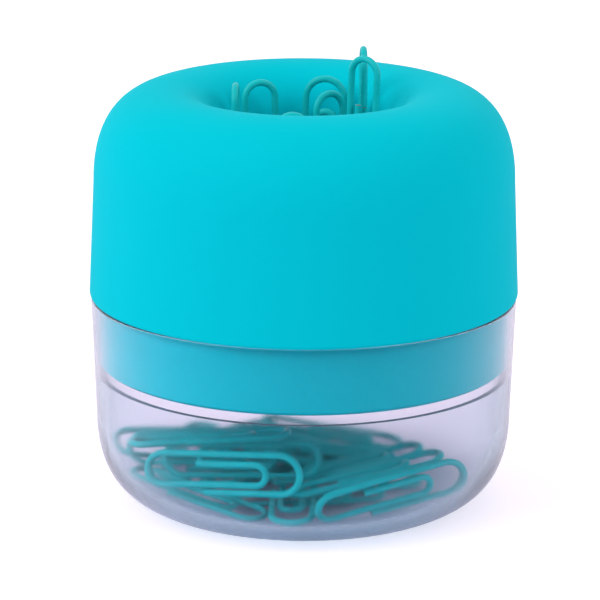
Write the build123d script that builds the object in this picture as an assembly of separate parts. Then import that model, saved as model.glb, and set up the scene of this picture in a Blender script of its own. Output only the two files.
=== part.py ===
from build123d import *
from math import ceil, hypot, sqrt
import os

import numpy as np

# Magnetic paper clip holder: a translucent cup of loose clips under a push-in cap.
# A ring magnet in the cap holds clips upright in the well at its top.
# Millimetres, +Z up. The origin is the middle of the flat that stands on the desk,
# and the side usually seen is -Y.

# Cup
seam_height = 38.0
cup_rim_radius = 37.9
cup_waist_inset = 0.8
cup_wall = 2.0
cup_lip_wall = 1.2
cup_floor = 1.6
foot_radius = 22.5
base_corner_height = 16.0
base_corner_fullness = 0.67
ledge_height = 24.3
plug_bore_inset = 0.3
rim_edge_round = 0.4

# Cap shell
cap_height = 37.0
cap_overhang = 0.25
cap_shoulder_inset = 0.9
cap_wall = 2.0
cap_edge_round = 0.6
shoulder_height = 16.3
shoulder_fullness = 0.64
crown_radius = 24.5
throat_radius = 14.5
throat_wall = 1.8
lip_depth = 15.0
lip_fullness = 0.69

# Cap plug, which closes the shell from below and seals the cup
plug_clearance = 0.25
plug_ledge_gap = 1.7
plug_wall = 1.8
plug_lead_in = 0.5
plug_seat_width = 0.35
neck_height = 10.0
neck_clearance = 0.15
snap_height = 6.0
snap_bead = 0.5
snap_half_width = 0.9
cone_margin = 2.0
cone_wall = 1.8
collar_height = 3.5
collar_wall = 1.8
collar_clearance = 0.2

# Ring magnet and the ribs that clamp it
magnet_width = 6.0
magnet_height = 6.0
magnet_drop = 4.0
magnet_clearance = 0.2
magnet_edge = 0.5
rib_count = 6
rib_thickness = 1.6
rib_upstand = 2.0
rib_clearance = 0.15

# Paper clip, bent from coated wire
clip_length = 28.0
clip_width = 8.2
wire_diameter = 1.2
leg_spacing = 1.4
inner_loop_width = 5.0
inner_loop_setback = 6.0
outer_leg_setback = 9.7
inner_leg_setback = 8.5

# How the clips lie
wire_clearance = 0.12
well_clearance = 0.15
samples_per_diameter = 2.4
tip_steps = (8, 4, 2, 1)

# Clips held upright in the well, in the order in which they are pushed to its wall:
# bearing of the push, heading of the flat side, sideways tilt, height of the top over
# the crown as a share of the clip's length, and whether the wide double loop is at the top
standing_layout = [
    (167, 178, 3, 0.008, False),
    (27, 2, -2, 0.22, False),
    (-2, 52, 3, 0.207, False),
    (126, 108, -1, -0.02, False),
    (75, 80, 2, -0.016, True),
    (52, 125, -4, -0.066, False),
    (259, 268, 2, -0.06, False),
]

# Loose clips, in the order in which they are dropped into the cup: bearing of the clip's
# middle, share of the way from the axis to the wall, heading of its length, sideways lean,
# pitch, and whether it tips until it lies as low as it can
loose_layout = [
    (223, 0.92, -29, -6, -10, False),
    (275, 0.40, 12, 0, 0, True),
    (150, 0.28, 28, 0, 0, True),
    (264, 0.77, -91, 1, 2, False),
    (200, 0.50, 75, 0, 0, True),
    (15, 0.40, -25, 0, 0, True),
    (302, 0.97, 21, 105, 10, False),
    (301, 0.84, 1, 178, 16, False),
    (310, 0.51, -2, 0, 16, False),
    (202, 0.88, 9, 80, 0, False),
    (231, 0.70, 181, -65, -1, False),
    (242, 0.98, -16, 83, 4, False),
    (226, 0.96, -2, -6, 5, False),
    (98, 0.76, 4, 0, 0, True),
    (132, 0.78, 42, 0, 0, True),
    (160, 0.80, 80, 0, 0, True),
    (186, 0.98, 19, 40, -6, False),
    (112, 0.45, -38, 0, 0, True),
    (75, 0.46, -12, 0, 0, True),
    (10, 0.20, 10, 0, 0, True),
    (75, 0.75, -10, 0, 0, True),
]

# Heights and radii that follow from the sizes above
wire_radius = wire_diameter / 2
quarter_round = 0.5523
cup_waist_radius = cup_rim_radius - cup_waist_inset
cup_inner_radius = cup_waist_radius - cup_wall
plug_bore_radius = cup_rim_radius - cup_lip_wall
crown_height = seam_height + cap_height
cap_rim_radius = cup_rim_radius + cap_overhang
cap_shoulder_radius = cap_rim_radius - cap_shoulder_inset
shoulder_start = crown_height - shoulder_height
lip_foot = crown_height - lip_depth
tube_radius = throat_radius + throat_wall
skirt_radius = plug_bore_radius - plug_clearance
shell_bore_radius = skirt_radius - plug_seat_width
neck_radius = shell_bore_radius - neck_clearance
neck_top = seam_height + neck_height
snap_middle = seam_height + snap_height
plug_bottom = ledge_height + plug_ledge_gap
skirt_inner_radius = neck_radius - plug_wall
magnet_top = lip_foot - magnet_drop
magnet_seat = magnet_top - magnet_height
magnet_bore = tube_radius + magnet_clearance
magnet_radius = magnet_bore + magnet_width
collar_bore = tube_radius + collar_clearance
collar_radius = collar_bore + collar_wall
cone_start = plug_bottom + cone_margin
cone_end = magnet_seat - collar_height
cone_slope = (cone_end - cone_start) / (skirt_inner_radius - collar_bore)
cone_rise = cone_wall * hypot(1, cone_slope)


def rounded(flat_end, upright_end, fullness=quarter_round):
    """Curve that leaves one end level and arrives at the other upright."""
    across = upright_end[0] - flat_end[0]
    along = upright_end[1] - flat_end[1]
    level = (flat_end[0] + fullness * across, flat_end[1])
    upright = (upright_end[0], upright_end[1] - fullness * along)
    return Bezier(flat_end, level, upright, upright_end)


def section(*edges):
    """Closed face in the XZ plane from edges drawn as (radius, height)."""
    return Plane.XZ * make_face(Curve() + list(edges))


def turned(*edges):
    """Solid of revolution about the axis of the holder."""
    return revolve(section(*edges), Axis.Z)


def ribs(face):
    """Ring of upright ribs, each as thick as stated, from one face in the XZ plane."""
    rib = extrude(face, rib_thickness / 2, both=True)
    return [Rot(0, 0, 360 * turn / rib_count) * rib for turn in range(rib_count)]


def cone_underside(radius):
    """Height of the plug's guiding cone, seen from the cup, at a radius."""
    return cone_start + cone_slope * (skirt_inner_radius - radius)


# Inside of the cup, from the middle of the floor to the ledge
inner_foot = (foot_radius - cup_wall, cup_floor)
inner_waist = (cup_inner_radius, base_corner_height)
ledge_inner_radius = cup_inner_radius + cup_waist_inset * (ledge_height - base_corner_height) / (
    seam_height - base_corner_height
)
cup_inside = [
    Line((0, cup_floor), inner_foot),
    rounded(inner_foot, inner_waist, base_corner_fullness),
    Line(inner_waist, (ledge_inner_radius, ledge_height)),
]


def make_cup():
    """Cup with a rounded base, a ledge inside and a thinner lip that takes the plug."""
    foot = (foot_radius, 0)
    waist = (cup_waist_radius, base_corner_height)
    rim_side = (cup_rim_radius, seam_height - rim_edge_round)
    rim_top = (cup_rim_radius - rim_edge_round, seam_height)
    return turned(
        Line((0, 0), foot),
        rounded(foot, waist, base_corner_fullness),
        Line(waist, rim_side),
        rounded(rim_top, rim_side),
        Polyline(
            rim_top,
            (plug_bore_radius, seam_height),
            (plug_bore_radius - plug_bore_inset, ledge_height),
            (ledge_inner_radius, ledge_height),
        ),
        *cup_inside,
        Line((0, cup_floor), (0, 0)),
    )


def make_cap_shell():
    """Cap with a rounded shoulder, a well rolled into its top and ribs under the well."""
    bottom = (cap_rim_radius - cap_edge_round, seam_height)
    side = (cap_rim_radius, seam_height + cap_edge_round)
    shoulder = (cap_shoulder_radius, shoulder_start)
    inner_shoulder = (cap_shoulder_radius - cap_wall, shoulder_start)
    crown = (crown_radius, crown_height)
    inner_crown = (crown_radius, crown_height - cap_wall)
    throat = (throat_radius, lip_foot)
    tube = (tube_radius, lip_foot)
    shell = turned(
        Line((shell_bore_radius, seam_height), bottom),
        rounded(bottom, side),
        Line(side, shoulder),
        rounded(crown, shoulder, shoulder_fullness),
        rounded(crown, throat, lip_fullness),
        Polyline(throat, (throat_radius, cone_end), (tube_radius, cone_end), tube),
        rounded(inner_crown, tube, lip_fullness),
        rounded(inner_crown, inner_shoulder, shoulder_fullness),
        Polyline(
            inner_shoulder,
            (shell_bore_radius, neck_top),
            (shell_bore_radius, snap_middle + snap_half_width),
            (shell_bore_radius + snap_bead, snap_middle),
            (shell_bore_radius, snap_middle - snap_half_width),
            (shell_bore_radius, seam_height),
        ),
    )
    rib_crown = (crown_radius, crown_height - cap_wall / 2)
    rib_root = (throat_radius + throat_wall / 2, lip_foot)
    rib_bottom = magnet_top + rib_clearance
    rib_face = section(
        rounded(rib_crown, rib_root, lip_fullness),
        Polyline(rib_root, (rib_root[0], rib_bottom), (crown_radius, rib_bottom), rib_crown),
    )
    return shell + ribs(rib_face)


def make_cap_plug():
    """Skirt that seals the cup, with a cone that guides clips up to the magnet's collar."""
    plug = turned(
        Polyline(
            (skirt_radius - plug_bore_inset - plug_lead_in, plug_bottom),
            (skirt_radius - plug_bore_inset, plug_bottom + plug_lead_in),
            (skirt_radius, seam_height),
            (neck_radius, seam_height),
            (neck_radius, snap_middle - snap_half_width),
            (neck_radius + snap_bead, snap_middle),
            (neck_radius, snap_middle + snap_half_width),
            (neck_radius, neck_top),
            (skirt_inner_radius, neck_top),
            (skirt_inner_radius, cone_start + cone_rise),
            (collar_radius, cone_underside(collar_radius) + cone_rise),
            (collar_radius, magnet_seat),
            (collar_bore, magnet_seat),
            (collar_bore, cone_end),
            (skirt_inner_radius, cone_start),
            (skirt_inner_radius, plug_bottom),
            close=True,
        )
    )
    rib_inside = collar_bore + collar_wall / 2
    fence = magnet_radius + magnet_clearance
    rib_outside = fence + rib_thickness
    rib_face = section(
        Polyline(
            (rib_inside, cone_underside(rib_inside) + cone_rise / 2),
            (rib_inside, magnet_seat),
            (fence, magnet_seat),
            (fence, magnet_seat + rib_upstand),
            (rib_outside, magnet_seat + rib_upstand),
            (rib_outside, cone_underside(rib_outside) + cone_rise / 2),
            close=True,
        )
    )
    return plug + ribs(rib_face)


def make_ring_magnet():
    """Ferrite ring round the throat, with its edges broken."""
    ring = turned(
        Polyline(
            (magnet_bore, magnet_seat),
            (magnet_radius, magnet_seat),
            (magnet_radius, magnet_top),
            (magnet_bore, magnet_top),
            close=True,
        )
    )
    return chamfer(ring.edges().filter_by(GeomType.CIRCLE), magnet_edge)


def clip_line():
    """Middle line of a clip: four legs side by side, joined by three half-round loops."""
    far_end = clip_length / 2 - wire_radius
    first = wire_radius - clip_width / 2
    second = -first
    third = first + leg_spacing
    fourth = third + inner_loop_width - wire_diameter
    outer_turn = (second - first) / 2
    end_turn = (second - third) / 2
    inner_turn = (fourth - third) / 2
    outer_bend = far_end - outer_turn
    end_bend = end_turn - far_end
    inner_bend = far_end - inner_loop_setback - inner_turn
    legs = [
        Line((outer_leg_setback - far_end, first), (outer_bend, first)),
        Line((outer_bend, second), (end_bend, second)),
        Line((end_bend, third), (inner_bend, third)),
        Line((inner_bend, fourth), (inner_leg_setback - far_end, fourth)),
    ]
    loops = [
        ThreePointArc((outer_bend, first), (far_end, 0), (outer_bend, second)),
        ThreePointArc((end_bend, second), (-far_end, (second + third) / 2), (end_bend, third)),
        ThreePointArc(
            (inner_bend, third), (inner_bend + inner_turn, (third + fourth) / 2), (inner_bend, fourth)
        ),
    ]
    return Wire([legs[0], loops[0], legs[1], loops[1], legs[2], loops[2], legs[3]])


clip_path = clip_line()
clip_solid = sweep(Plane(clip_path @ 0, z_dir=clip_path % 0) * Circle(wire_radius), clip_path)
clip_steps = ceil(samples_per_diameter * clip_path.length / wire_diameter)
clip_points = np.array([tuple(clip_path @ (step / clip_steps)) for step in range(clip_steps + 1)])


def turn_about(axis, degrees):
    """Rotation matrix for a turn about X, Y or Z, given as 0, 1 or 2."""
    first = (axis + 1) % 3
    second = (axis + 2) % 3
    angle = np.radians(degrees)
    matrix = np.eye(3)
    matrix[first, first] = matrix[second, second] = np.cos(angle)
    matrix[second, first] = np.sin(angle)
    matrix[first, second] = -np.sin(angle)
    return matrix


def unit(bearing):
    """Level direction at a bearing, counted from +X towards +Y."""
    return np.array([np.cos(np.radians(bearing)), np.sin(np.radians(bearing)), 0.0])


def reach(points, direction, wall_radius, others, spacing):
    """How far a clip goes from the axis before it meets the wall or another clip, in plan."""
    along = points @ direction
    from_axis = points[:, 0] ** 2 + points[:, 1] ** 2
    free = [(sqrt(wall_radius**2 - far + near**2) - near) for far, near in zip(from_axis, along)]
    for other in others:
        offset = other[None, :, :2] - points[:, None, :2]
        ahead = offset @ direction[:2]
        aside = (offset**2).sum(axis=2) - ahead**2
        meets = (aside < spacing**2) & (ahead > 0)
        free.extend(ahead[meets] - np.sqrt(spacing**2 - aside[meets]))
    return min(free)


def placed(matrix, middle):
    """Clip solid turned by a matrix and set with its middle at a point."""
    frame = Plane(origin=tuple(middle), x_dir=tuple(matrix[:, 0]), z_dir=tuple(matrix[:, 2]))
    return frame * clip_solid


def stand_clips():
    """Poses of clips pushed outwards in the throat until they meet its wall or each other."""
    wall = throat_radius - well_clearance - wire_radius
    spacing = wire_diameter + wire_clearance
    laid = []
    poses = []
    for bearing, heading, tilt, over_crown, wide_end_up in standing_layout:
        upright = turn_about(1, -90 if wide_end_up else 90)
        matrix = turn_about(2, heading) @ turn_about(0, tilt) @ upright
        points = clip_points @ matrix.T
        middle = unit(bearing) * reach(points, unit(bearing), wall, laid, spacing)
        top = crown_height + over_crown * clip_length - wire_radius
        middle[2] = top - points[:, 2].max()
        laid.append(points + middle)
        poses.append((matrix, middle))
    return poses


inside_points = np.array(
    [tuple(edge @ share)[:2] for edge in cup_inside for share in np.linspace(0, 1, 60)]
)


def drop_height(points, others):
    """Height at which a clip let straight down first touches the cup or another clip."""
    apart = wire_radius + wire_clearance
    radius = np.hypot(points[:, 0], points[:, 1])
    aside = radius[:, None] - inside_points[None, :, 0]
    over = apart**2 - aside**2
    needed = inside_points[None, :, 1] + np.sqrt(np.maximum(over, 0)) - points[:, 2:3]
    height = needed[over > 0].max()
    spacing = wire_diameter + wire_clearance
    for other in others:
        over = spacing**2 - ((points[:, None, :2] - other[None, :, :2]) ** 2).sum(axis=2)
        meets = over > 0
        if meets.any():
            needed = other[None, :, 2] + np.sqrt(np.maximum(over, 0)) - points[:, 2:3]
            height = max(height, needed[meets].max())
    return height


def attitude(heading, lean, pitch):
    """Rotation of a clip that lies along a heading, leaning sideways and pitched up."""
    return turn_about(2, heading) @ turn_about(1, -pitch) @ turn_about(0, lean)


def drop_clips():
    """Poses of clips dropped one by one, most of them tipping until they lie low."""
    wall = cup_inner_radius - wire_clearance - wire_radius
    laid = []
    poses = []

    def middle_of(matrix, bearing, share):
        points = clip_points @ matrix.T
        middle = unit(bearing) * share * reach(points, unit(bearing), wall, [], 0)
        middle[2] = drop_height(points + middle, laid)
        return middle

    for bearing, share, heading, lean, pitch, tips in loose_layout:
        matrix = attitude(heading, lean, pitch)
        middle = middle_of(matrix, bearing, share)
        for step in tip_steps if tips else ():
            for lean_step, pitch_step in ((step, 0), (-step, 0), (0, step), (0, -step)) * 2:
                trial = attitude(heading, lean + lean_step, pitch + pitch_step)
                trial_middle = middle_of(trial, bearing, share)
                if trial_middle[2] < middle[2]:
                    lean += lean_step
                    pitch += pitch_step
                    matrix, middle = trial, trial_middle
        laid.append(clip_points @ matrix.T + middle)
        poses.append((matrix, middle))
    return poses


nodes = {
    "cup": make_cup(),
    "cap_shell": make_cap_shell(),
    "cap_plug": make_cap_plug(),
    "ring_magnet": make_ring_magnet(),
}
standing_poses = stand_clips()
loose_poses = drop_clips()
for number, pose in enumerate(standing_poses, start=1):
    nodes[f"standing_clip_{number}"] = placed(*pose)
for number, pose in enumerate(loose_poses, start=1):
    nodes[f"loose_clip_{number:02d}"] = placed(*pose)

os.makedirs("parts", exist_ok=True)
for name, solid in nodes.items():
    export_step(solid, f"parts/{name}.step")
    size = solid.bounding_box().size
    print(f"{name}: {size.X:.1f} x {size.Y:.1f} x {size.Z:.1f} mm")
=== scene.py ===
# %% [markdown]
# # Magnetic paper clip holder
#
# A small desk holder in two halves. The lower half is a frosted clear cup full of loose paper
# clips. The upper half is a turquoise cap with a soft-touch finish, and a well rolled into its
# top. A ring magnet hidden round the throat of the well holds a few clips upright, ready to pick.
#
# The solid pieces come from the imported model, at their real size and place. This file gives each
# of them its finish, adds the bare wire that shows at the cut ends of the clips, and sets up the
# studio: floor, light and camera. Everything is in metres.

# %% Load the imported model
from math import cos, radians, sin

import bmesh
import bpy
from mathutils import Matrix, Vector


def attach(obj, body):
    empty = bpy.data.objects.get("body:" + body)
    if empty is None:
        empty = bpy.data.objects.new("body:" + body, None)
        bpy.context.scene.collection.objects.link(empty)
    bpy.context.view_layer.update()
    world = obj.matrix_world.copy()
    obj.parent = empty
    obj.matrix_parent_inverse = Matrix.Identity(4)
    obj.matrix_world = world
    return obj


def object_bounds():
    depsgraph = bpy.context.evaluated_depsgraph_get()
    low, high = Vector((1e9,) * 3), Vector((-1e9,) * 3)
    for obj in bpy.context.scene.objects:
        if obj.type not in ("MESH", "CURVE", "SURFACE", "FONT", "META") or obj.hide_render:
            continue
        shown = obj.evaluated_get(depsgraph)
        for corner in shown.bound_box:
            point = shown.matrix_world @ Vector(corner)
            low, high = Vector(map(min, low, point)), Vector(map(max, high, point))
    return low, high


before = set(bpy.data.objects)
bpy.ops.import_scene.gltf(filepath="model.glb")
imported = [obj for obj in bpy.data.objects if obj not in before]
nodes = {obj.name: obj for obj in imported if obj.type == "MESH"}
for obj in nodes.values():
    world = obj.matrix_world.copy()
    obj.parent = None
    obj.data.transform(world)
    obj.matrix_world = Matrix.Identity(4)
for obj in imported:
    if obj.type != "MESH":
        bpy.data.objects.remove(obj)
cad_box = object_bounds()
scene = bpy.context.scene

# %% [markdown]
# ## Small helpers for shader nodes
#
# Every finish below is a graph of shader nodes. Building one by hand takes many lines that only
# repeat "add a node, set its inputs, join it up", so a few helpers do that. They set inputs by
# name, and a value that is itself a socket becomes a link. The last two make and place a node
# group, which is the way to build an effect once and use it in several finishes.

# %% Helpers for nodes
millimetre = 0.001


def put(tree, value, socket):
    """Sets an input, or links it if the value is itself a socket."""
    if isinstance(value, bpy.types.NodeSocket):
        tree.links.new(value, socket)
    else:
        socket.default_value = value


def set_inputs(tree, node, **inputs):
    """Sets or links the inputs of a node by name, with _ for each space in the name."""
    for name, value in inputs.items():
        put(tree, value, node.inputs[name.replace("_", " ")])


def add_node(tree, kind, settings=None, **inputs):
    """Adds a node, sets its properties, and sets or links its inputs by name."""
    node = tree.nodes.new(kind)
    for name, value in (settings or {}).items():
        setattr(node, name, value)
    set_inputs(tree, node, **inputs)
    return node


print("node helpers ready")

# %% Helpers for values
def combine(tree, operation, first, second):
    """Result of one operation on two values, each a number or a socket."""
    node = add_node(tree, "ShaderNodeMath", {"operation": operation})
    put(tree, first, node.inputs[0])
    put(tree, second, node.inputs[1])
    return node.outputs[0]


def remap(tree, value, bend="LINEAR", **ranges):
    """Value carried over from one range to another, and held at the ends."""
    node = add_node(tree, "ShaderNodeMapRange", {"interpolation_type": bend}, Value=value, **ranges)
    return node.outputs["Result"]


def object_noise(tree, size, **inputs):
    """Noise in the object's own coordinates, with features of about the given size."""
    place = tree.nodes.new("ShaderNodeTexCoord").outputs["Object"]
    scale = combine(tree, "DIVIDE", 1.0, size)
    return add_node(tree, "ShaderNodeTexNoise", Vector=place, Scale=scale, **inputs).outputs["Fac"]


print("value helpers ready")

# %% Helpers for surfaces
def two_tone(tree, factor, first, second):
    """Colour between two others, by a factor that changes over the surface."""
    tint = add_node(
        tree, "ShaderNodeMix", {"data_type": "RGBA"}, Factor=factor, A=(*first, 1.0), B=(*second, 1.0)
    )
    return tint.outputs["Result"]


def bumps(tree, height, strength, depth):
    """Normal of a surface with fine bumps."""
    bump = add_node(tree, "ShaderNodeBump", Strength=strength, Distance=depth, Height=height)
    return bump.outputs["Normal"]


def mix_shaders(tree, mask, first, second):
    """Shader that is the first one where the mask is 0, and the second where it is 1."""
    both = tree.nodes.new("ShaderNodeMixShader")
    for value, socket in zip((mask, first.outputs[0], second.outputs[0]), both.inputs):
        put(tree, value, socket)
    return both.outputs[0]


print("surface helpers ready")

# %% Helpers for materials and groups
def new_material(name):
    """Starts a material, and returns it with its node tree and its main shader."""
    material = bpy.data.materials.new(name)
    material.use_nodes = True
    tree = material.node_tree
    return material, tree, tree.nodes["Principled BSDF"]


def new_group(name, inputs, outputs):
    """Starts a shader node group of plain values, and returns it with its two ends."""
    group = bpy.data.node_groups.new(name, "ShaderNodeTree")
    for title, value in inputs.items():
        socket = group.interface.new_socket(title, in_out="INPUT", socket_type="NodeSocketFloat")
        socket.default_value = value
    for title in outputs:
        group.interface.new_socket(title, in_out="OUTPUT", socket_type="NodeSocketFloat")
    return group, group.nodes.new("NodeGroupInput").outputs, group.nodes.new("NodeGroupOutput")


def use_group(tree, group, **inputs):
    """Places a node group in a material, with its own values, and returns its outputs."""
    return add_node(tree, "ShaderNodeGroup", {"node_tree": group}, **inputs).outputs


print("material helpers ready")

# %% [markdown]
# ## Effects that several finishes share
#
# No moulded surface is perfectly even. The steel mould is spark-eroded or blasted, so plastic
# takes a fine grain from it, and hands leave broad, faint patches where the surface is slicker.
# Both could be painted as image maps, but noise computed in the object's own coordinates has no
# seams and needs no unwrapping. Each effect is one node group with its size as an input.

# %% Fine mould grain
def make_mould_grain():
    """Grain of a blasted mould: a height for bumps, and speckles that follow it."""
    group, given, result = new_group("mould_grain", {"Grain": 0.3 * millimetre}, ["Height", "Speckle"])
    height = object_noise(group, given["Grain"], Detail=2.0, Roughness=0.6)
    speckle = remap(group, height, From_Min=0.35, From_Max=0.65)
    set_inputs(group, result, Height=height, Speckle=speckle)
    return group


mould_grain = make_mould_grain()
print("group:", mould_grain.name)

# %% Marks of handling
def make_handling():
    """Broad faint patches where fingers have polished or greased a surface."""
    defaults = {"Patch": 20 * millimetre, "Low": 0.0, "High": 1.0}
    group, given, result = new_group("handling", defaults, ["Value"])
    patches = object_noise(group, given["Patch"], Detail=3.0, Distortion=0.8)
    value = remap(group, patches, From_Min=0.3, From_Max=0.7, To_Min=given["Low"], To_Max=given["High"])
    set_inputs(group, result, Value=value)
    return group


handling = make_handling()
print("group:", handling.name)

# %% [markdown]
# ## Soft-touch turquoise
#
# The cap is sprayed with a rubbery soft-touch lacquer. It has almost no highlight, its colour is
# very pure, and it only pales where it is seen along the surface, on the shoulder and round the
# well. A plastic with the usual gloss and a high roughness would lay a grey veil over the whole
# cap, so the specular level is low here, and a sheen layer gives the pale edge. The plug has the
# same colour without the lacquer, so it is a little smoother.

# %% Finish of the cap and of its plug
turquoise = (0.0, 0.60, 0.71)
turquoise_deep = (0.0, 0.585, 0.695)
gloss_spread = 0.05


def soft_plastic(name, roughness, specular, sheen):
    """Matt moulded plastic whose colour and gloss vary a little over the surface."""
    material, tree, shader = new_material(name)
    grain = use_group(tree, mould_grain, Grain=0.25 * millimetre)
    gloss = use_group(
        tree, handling, Patch=18 * millimetre, Low=roughness - gloss_spread, High=roughness + gloss_spread
    )
    set_inputs(
        tree,
        shader,
        Base_Color=two_tone(tree, grain["Speckle"], turquoise_deep, turquoise),
        Roughness=gloss["Value"],
        Normal=bumps(tree, grain["Height"], strength=0.08, depth=0.05 * millimetre),
        Specular_IOR_Level=specular,
        Sheen_Weight=sheen,
        Sheen_Roughness=0.35,
    )
    return material


cap_finish = soft_plastic("cap_soft_touch", roughness=0.7, specular=0.02, sheen=0.02)
plug_finish = soft_plastic("plug_satin", roughness=0.5, specular=0.05, sheen=0.0)
print("finishes:", cap_finish.name, plug_finish.name)

# %% [markdown]
# ## Frosted clear cup
#
# The cup is a clear plastic with a faint violet tint, frosted by a blasted mould. A clip that
# lies against the wall is sharp and one further back melts away, because each ray is bent a
# little at random where it passes the frosted face. That is what a rough refraction does, so the
# cup is a real glass-like solid with a rough surface, not a flat see-through colour. The grain
# of the mould speckles its tint a little, as it does on the cap.
#
# The plastic takes some red out of the light on its way through. The thin wall hardly shows it,
# but along the thick base it adds up to the blue-grey band at the foot of the cup. So that tint
# is an absorption inside the solid, which grows with depth, and not a colour of its surface.
#
# A blasted face also mirrors little of the room, so the specular tint is low, and it scatters
# some light straight back as a pale haze, which a sheen layer gives. Rays that look for a lamp
# can't bend, and a glass solid would stop them and leave the clips in the dark, so for those rays
# alone the cup is plainly transparent.

# %% Colours and optics of the cup
cup_violet = (1.0, 0.925, 0.965)
cup_violet_deep = (0.98, 0.90, 0.945)
haze_violet = (0.85, 0.82, 1.0)
faint_mirror = (0.1, 0.1, 0.1)
passing_light = (0.93, 0.93, 0.93)
depth_blue = (0.44, 0.76, 0.855)
depth_density = 140.0
plastic_ior = 1.49
frost_spread = 0.03
print("tint:", cup_violet, "tint in depth:", depth_blue)

# %% Finish of the cup
def frosted_clear(name, roughness):
    """Clear plastic with a blasted surface that mirrors little and lets lamplight through."""
    material, tree, shader = new_material(name)
    grain = use_group(tree, mould_grain, Grain=0.22 * millimetre)
    frost = use_group(
        tree, handling, Patch=14 * millimetre, Low=roughness - frost_spread, High=roughness + frost_spread
    )
    set_inputs(
        tree,
        shader,
        Base_Color=two_tone(tree, grain["Speckle"], cup_violet_deep, cup_violet),
        Roughness=frost["Value"],
        Normal=bumps(tree, grain["Height"], strength=0.10, depth=0.03 * millimetre),
        Transmission_Weight=1.0,
        IOR=plastic_ior,
        Specular_Tint=(*faint_mirror, 1.0),
        Sheen_Weight=0.7,
        Sheen_Roughness=0.35,
        Sheen_Tint=(*haze_violet, 1.0),
    )
    lamp_rays = tree.nodes.new("ShaderNodeLightPath").outputs["Is Shadow Ray"]
    clear = add_node(tree, "ShaderNodeBsdfTransparent", Color=(*passing_light, 1.0))
    surface = mix_shaders(tree, lamp_rays, shader, clear)
    body = add_node(tree, "ShaderNodeVolumeAbsorption", Color=(*depth_blue, 1.0), Density=depth_density)
    set_inputs(tree, tree.nodes["Material Output"], Surface=surface, Volume=body.outputs[0])
    return material


cup_finish = frosted_clear("cup_frosted", roughness=0.095)
print("finish:", cup_finish.name)

# %% [markdown]
# ## Coated wire, bare wire and ferrite
#
# The clips are steel wire with a thin turquoise vinyl coat, a shade greener than the cap and
# clearly glossier. The coat could be one even colour, but it is drawn on in a long run and is
# never quite the same thickness, so its shade and gloss wander along the wire. The wire is cut
# after it is coated, so each cut end shows a disc of bare steel. The magnet is a ring of sintered
# ferrite, charcoal grey and slightly rough. It is shut in between the cap and its plug, and gets
# its true finish all the same, because someone may take the cap apart.

# %% Finish of the clips
coat_teal = (0.01, 0.58, 0.60)
coat_teal_deep = (0.005, 0.52, 0.54)


def vinyl_coat(name):
    """Thin glossy coat on wire, a little uneven along its length."""
    material, tree, shader = new_material(name)
    patches = use_group(tree, handling, Patch=4 * millimetre, Low=0.0, High=1.0)
    gloss = use_group(tree, handling, Patch=2 * millimetre, Low=0.24, High=0.38)
    set_inputs(
        tree,
        shader,
        Base_Color=two_tone(tree, patches["Value"], coat_teal_deep, coat_teal),
        Roughness=gloss["Value"],
        Specular_IOR_Level=0.12,
    )
    return material


clip_finish = vinyl_coat("clip_vinyl")
print("finish:", clip_finish.name)

# %% Finishes of the bare wire and of the magnet
steel_grey = (0.20, 0.22, 0.22)
ferrite_grey = (0.060, 0.060, 0.066)
ferrite_grey_deep = (0.030, 0.030, 0.034)


def cut_steel(name):
    """Dull steel with the fine marks of the cutter."""
    material, tree, shader = new_material(name)
    marks = use_group(tree, handling, Patch=0.2 * millimetre, Low=0.25, High=0.5)
    set_inputs(tree, shader, Base_Color=(*steel_grey, 1.0), Roughness=marks["Value"], Metallic=1.0)
    return material


def sintered_ferrite(name):
    """Charcoal ceramic with a dry, slightly open surface."""
    material, tree, shader = new_material(name)
    grain = use_group(tree, mould_grain, Grain=0.4 * millimetre)
    set_inputs(
        tree,
        shader,
        Base_Color=two_tone(tree, grain["Speckle"], ferrite_grey_deep, ferrite_grey),
        Roughness=0.65,
        Normal=bumps(tree, grain["Height"], strength=0.3, depth=0.1 * millimetre),
    )
    return material


steel_finish = cut_steel("wire_cut_steel")
magnet_finish = sintered_ferrite("magnet_ferrite")
print("finishes:", steel_finish.name, magnet_finish.name)

# %% [markdown]
# ## Dressing the solids
#
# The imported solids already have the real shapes: the rolled well, the ledge of the cup, the bent
# wire. Finer meshes could be laid over them, but they would only part the looks from the sizes. So
# the solids stay, and only their material slots change.

# %% Give each solid its finish
finishes = {
    "cup": cup_finish,
    "cap_shell": cap_finish,
    "cap_plug": plug_finish,
    "ring_magnet": magnet_finish,
}
for name, node in nodes.items():
    node.data.materials.clear()
    node.data.materials.append(finishes.get(name, clip_finish))
print("dressed:", len(nodes))

# %% [markdown]
# ## Bare wire at the cut ends
#
# The wire is coated as a long coil and cut afterwards, so the coat ends at the cut and the steel
# shows. A disc a little smaller than the wire lies on each flat end. The places could be typed in,
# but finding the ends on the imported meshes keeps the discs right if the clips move: a patch of
# faces in one plane, no wider than the wire, is a cut end.

# %% Find the cut ends
wire_radius = 0.6 * millimetre
end_reach = 1.05 * wire_radius
fewest_corners = 9
same_plane = 0.999


def flat_patch(start):
    """Faces joined to one face that lie in its plane. The list grows while it is walked."""
    patch = [start]
    for face in patch:
        beside = {other for edge in face.edges for other in edge.link_faces}
        for other in beside:
            if other not in patch and other.normal.dot(start.normal) > same_plane:
                patch.append(other)
    return patch


def cut_ends(node):
    """Middle and outward direction of each cut end of a clip."""
    shape = bmesh.new()
    shape.from_mesh(node.data)
    shape.transform(node.matrix_world)
    shape.normal_update()
    ends = []
    seen = set()
    for face in shape.faces:
        if face not in seen:
            patch = flat_patch(face)
            seen.update(patch)
            corners = {corner for part in patch for corner in part.verts}
            middle = sum((corner.co for corner in corners), Vector()) / len(corners)
            narrow = all((corner.co - middle).length < end_reach for corner in corners)
            if narrow and len(corners) >= fewest_corners:
                ends.append((middle, face.normal.copy()))
    shape.free()
    return ends


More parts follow.
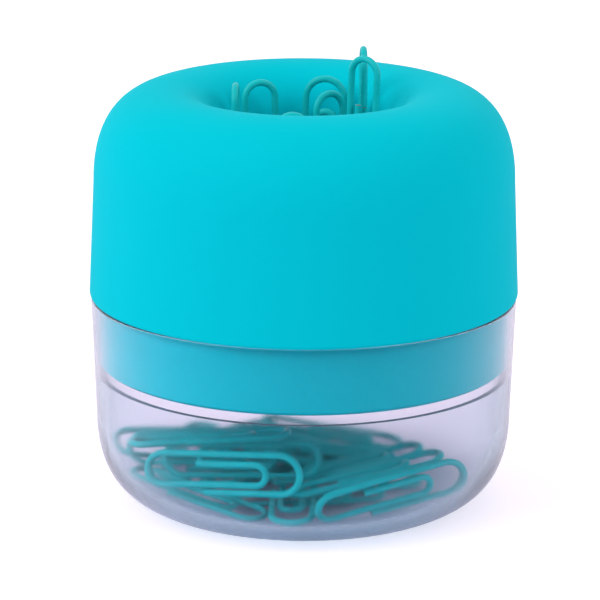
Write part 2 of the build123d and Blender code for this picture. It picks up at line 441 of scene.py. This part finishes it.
first_ends = cut_ends(nodes["standing_clip_1"])
print("ends of the first clip:", len(first_ends))

# %% Cap the cut ends with steel
bare_radius = 0.47 * millimetre
stand_off = 0.01 * millimetre
disc_sides = 20


def object_from(shape, name, finish):
    """Turns a built shape into an object of the scene, with one finish."""
    mesh = bpy.data.meshes.new(name)
    shape.to_mesh(mesh)
    shape.free()
    mesh.materials.append(finish)
    piece = bpy.data.objects.new(name, mesh)
    scene.collection.objects.link(piece)
    return piece


def bare_wire(name, body, clips):
    """Steel discs on the cut ends of some clips, as one piece that rides on a body."""
    shape = bmesh.new()
    for clip in clips:
        for middle, outward in cut_ends(nodes[clip]):
            facing = outward.to_track_quat("Z", "Y").to_matrix().to_4x4()
            place = Matrix.Translation(middle + outward * stand_off) @ facing
            bmesh.ops.create_circle(
                shape, cap_ends=True, segments=disc_sides, radius=bare_radius, matrix=place
            )
    piece = object_from(shape, name, steel_finish)
    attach(piece, body)
    return piece


loose_clips = [name for name in nodes if name.startswith("loose_clip")]
bare_ends = [bare_wire("bare_wire_loose", "cup", loose_clips)]
for name in nodes:
    if name.startswith("standing_clip"):
        number = name.rsplit("_", 1)[1]
        bare_ends.append(bare_wire(f"bare_wire_{number}", f"clip_{number}", [name]))
print("cut ends:", {piece.name: len(piece.data.polygons) for piece in bare_ends})

# %% [markdown]
# ## Floor
#
# The studio has a plain floor. A photographer would light it until it burns out to white, but
# that light would spill onto the object too. Here the floor glows a little by itself instead, and
# only for rays from the camera or through the cup, so the light on the object stays as it is. Rays
# through the cup see no glow under its middle, where a real floor lies in the shade of the cap, and
# the glow sets in gently further out.
#
# The floor is wide, so that low views end in white, and it lies a hair under the base, because two
# faces in one plane would show stripes. Its underside is clear, so that a view from below shows the
# holder and not the back of the floor.

# %% Kinds of rays
def ray_kinds(tree):
    """Masks of the rays from the camera, and of those that glass or gloss has bent."""
    rays = tree.nodes.new("ShaderNodeLightPath").outputs
    bent = combine(tree, "MAXIMUM", rays["Is Glossy Ray"], rays["Is Transmission Ray"])
    return rays["Is Camera Ray"], bent


print("ray masks ready")

# %% Finish of the floor
floor_lilac = (0.90, 0.80, 0.92)
glow_colour = (1.0, 0.95, 0.98)
glow_strength = 0.5
glow_through_cup = 0.65
shade_radius = 25 * millimetre
glow_radius = 50 * millimetre


def glowing_floor(name):
    """Pale lilac that shows as white, apart from shadows, and doesn't light the object more."""
    material, tree, shader = new_material(name)
    place = tree.nodes.new("ShaderNodeTexCoord").outputs["Object"]
    away = add_node(tree, "ShaderNodeVectorMath", {"operation": "LENGTH"}, Vector=place).outputs["Value"]
    fade = remap(
        tree, away, "SMOOTHSTEP", From_Min=shade_radius, From_Max=glow_radius, To_Max=glow_through_cup
    )
    camera_ray, bent_ray = ray_kinds(tree)
    seen = combine(tree, "MAXIMUM", camera_ray, combine(tree, "MULTIPLY", bent_ray, fade))
    set_inputs(
        tree,
        shader,
        Base_Color=(*floor_lilac, 1.0),
        Roughness=0.9,
        Specular_IOR_Level=0.0,
        Emission_Color=(*glow_colour, 1.0),
        Emission_Strength=combine(tree, "MULTIPLY", seen, glow_strength),
    )
    from_below = tree.nodes.new("ShaderNodeNewGeometry").outputs["Backfacing"]
    clear = tree.nodes.new("ShaderNodeBsdfTransparent")
    surface = mix_shaders(tree, from_below, shader, clear)
    set_inputs(tree, tree.nodes["Material Output"], Surface=surface)
    return material


floor_finish = glowing_floor("floor_white")
print("finish:", floor_finish.name)

# %% Make the floor
floor_radius = 6.0
floor_depth = 0.05 * millimetre
floor_sides = 96


def make_floor():
    """Wide round floor just under the base."""
    shape = bmesh.new()
    bmesh.ops.create_circle(shape, cap_ends=True, segments=floor_sides, radius=floor_radius)
    floor = object_from(shape, "floor", floor_finish)
    floor.location.z = -floor_depth
    return floor


floor = make_floor()
print(floor.name, "radius:", floor_radius)

# %% [markdown]
# ## Light
#
# A white world lights the object from all round. It is weaker from the front, where the
# photographer stands, so that the frosted cup doesn't mirror a white room and the clips behind it
# keep their colour. The camera, and rays that the cup bends towards the back, see the world as
# plain white. Two large soft lamps stand at the sides, and the left one is the stronger. One lamp
# and a bright world would do too, but the cap would lose the soft fall of light across its wall.

# %% World
straight_to_front = -1.0
full_light_from = 0.2
plain_white_from = 0.5
white = (1.0, 1.0, 1.0)


def make_world(front, back):
    """White light from all round, weaker from the front, that the camera sees as white."""
    world = bpy.data.worlds.new("studio")
    world.use_nodes = True
    tree = world.node_tree
    direction = tree.nodes.new("ShaderNodeTexCoord").outputs["Generated"]
    backwards = add_node(tree, "ShaderNodeSeparateXYZ", Vector=direction).outputs["Y"]
    light = remap(
        tree,
        backwards,
        "SMOOTHSTEP",
        From_Min=straight_to_front,
        From_Max=full_light_from,
        To_Min=front,
        To_Max=back,
    )
    behind = remap(tree, backwards, From_Max=plain_white_from)
    camera_ray, bent_ray = ray_kinds(tree)
    seen_white = combine(tree, "MAXIMUM", camera_ray, combine(tree, "MULTIPLY", bent_ray, behind))
    strength = combine(tree, "MAXIMUM", light, seen_white)
    set_inputs(tree, tree.nodes["Background"], Color=(*white, 1.0), Strength=strength)
    return world


scene.world = make_world(front=0.25, back=0.78)
print("world:", scene.world.name)

# %% Lamps
lamp_width = 0.5
lamp_place = Vector((0.6, -0.35, 0.5))
holder_middle = (cad_box[0] + cad_box[1]) / 2


def area_lamp(name, side, power):
    """Square soft lamp that faces the holder from the left, side -1, or the right, side 1."""
    light = bpy.data.lights.new(name, "AREA")
    light.size = lamp_width
    light.energy = power
    lamp = bpy.data.objects.new(name, light)
    lamp.location = (side * lamp_place.x, lamp_place.y, lamp_place.z)
    lamp.rotation_euler = (holder_middle - lamp.location).to_track_quat("-Z", "Y").to_euler()
    scene.collection.objects.link(lamp)
    return lamp


lamps = [area_lamp("key_lamp", side=-1, power=3.3), area_lamp("fill_lamp", side=1, power=1.6)]
print("lamps:", {lamp.name: round(lamp.data.energy, 2) for lamp in lamps})

# %% [markdown]
# ## Camera
#
# The view is the photographer's: a little above the holder, from well back, so that the sides
# look almost upright. The lens follows from the size of the holder in the frame, and the shift
# moves the frame without turning the camera. Turning it instead would lean the sides of the cup.

# %% Camera
photo_side = 600
aim = Vector((0.0, 0.0, 0.037))
aim_pixel = (303.75, 296.1)
pixels_per_metre_at_aim = 5600.0
camera_distance = 0.6
camera_elevation = radians(15.465)
camera_roll = radians(0.30)

camera = bpy.data.cameras.new("camera")
camera.sensor_width = 36.0
camera.lens = camera.sensor_width * pixels_per_metre_at_aim * camera_distance / photo_side
camera.shift_x = (photo_side / 2 - aim_pixel[0]) / photo_side
camera.shift_y = (aim_pixel[1] - photo_side / 2) / photo_side
viewer = bpy.data.objects.new("camera", camera)
to_viewer = Vector((0.0, -cos(camera_elevation), sin(camera_elevation)))
viewer.location = aim + to_viewer * camera_distance
facing_aim = (-to_viewer).to_track_quat("-Z", "Y").to_matrix().to_4x4()
viewer.rotation_euler = (facing_aim @ Matrix.Rotation(camera_roll, 4, "Z")).to_euler()
scene.collection.objects.link(viewer)
scene.camera = viewer
scene.view_settings.view_transform = "Standard"
print("lens:", round(camera.lens, 1), "mm")
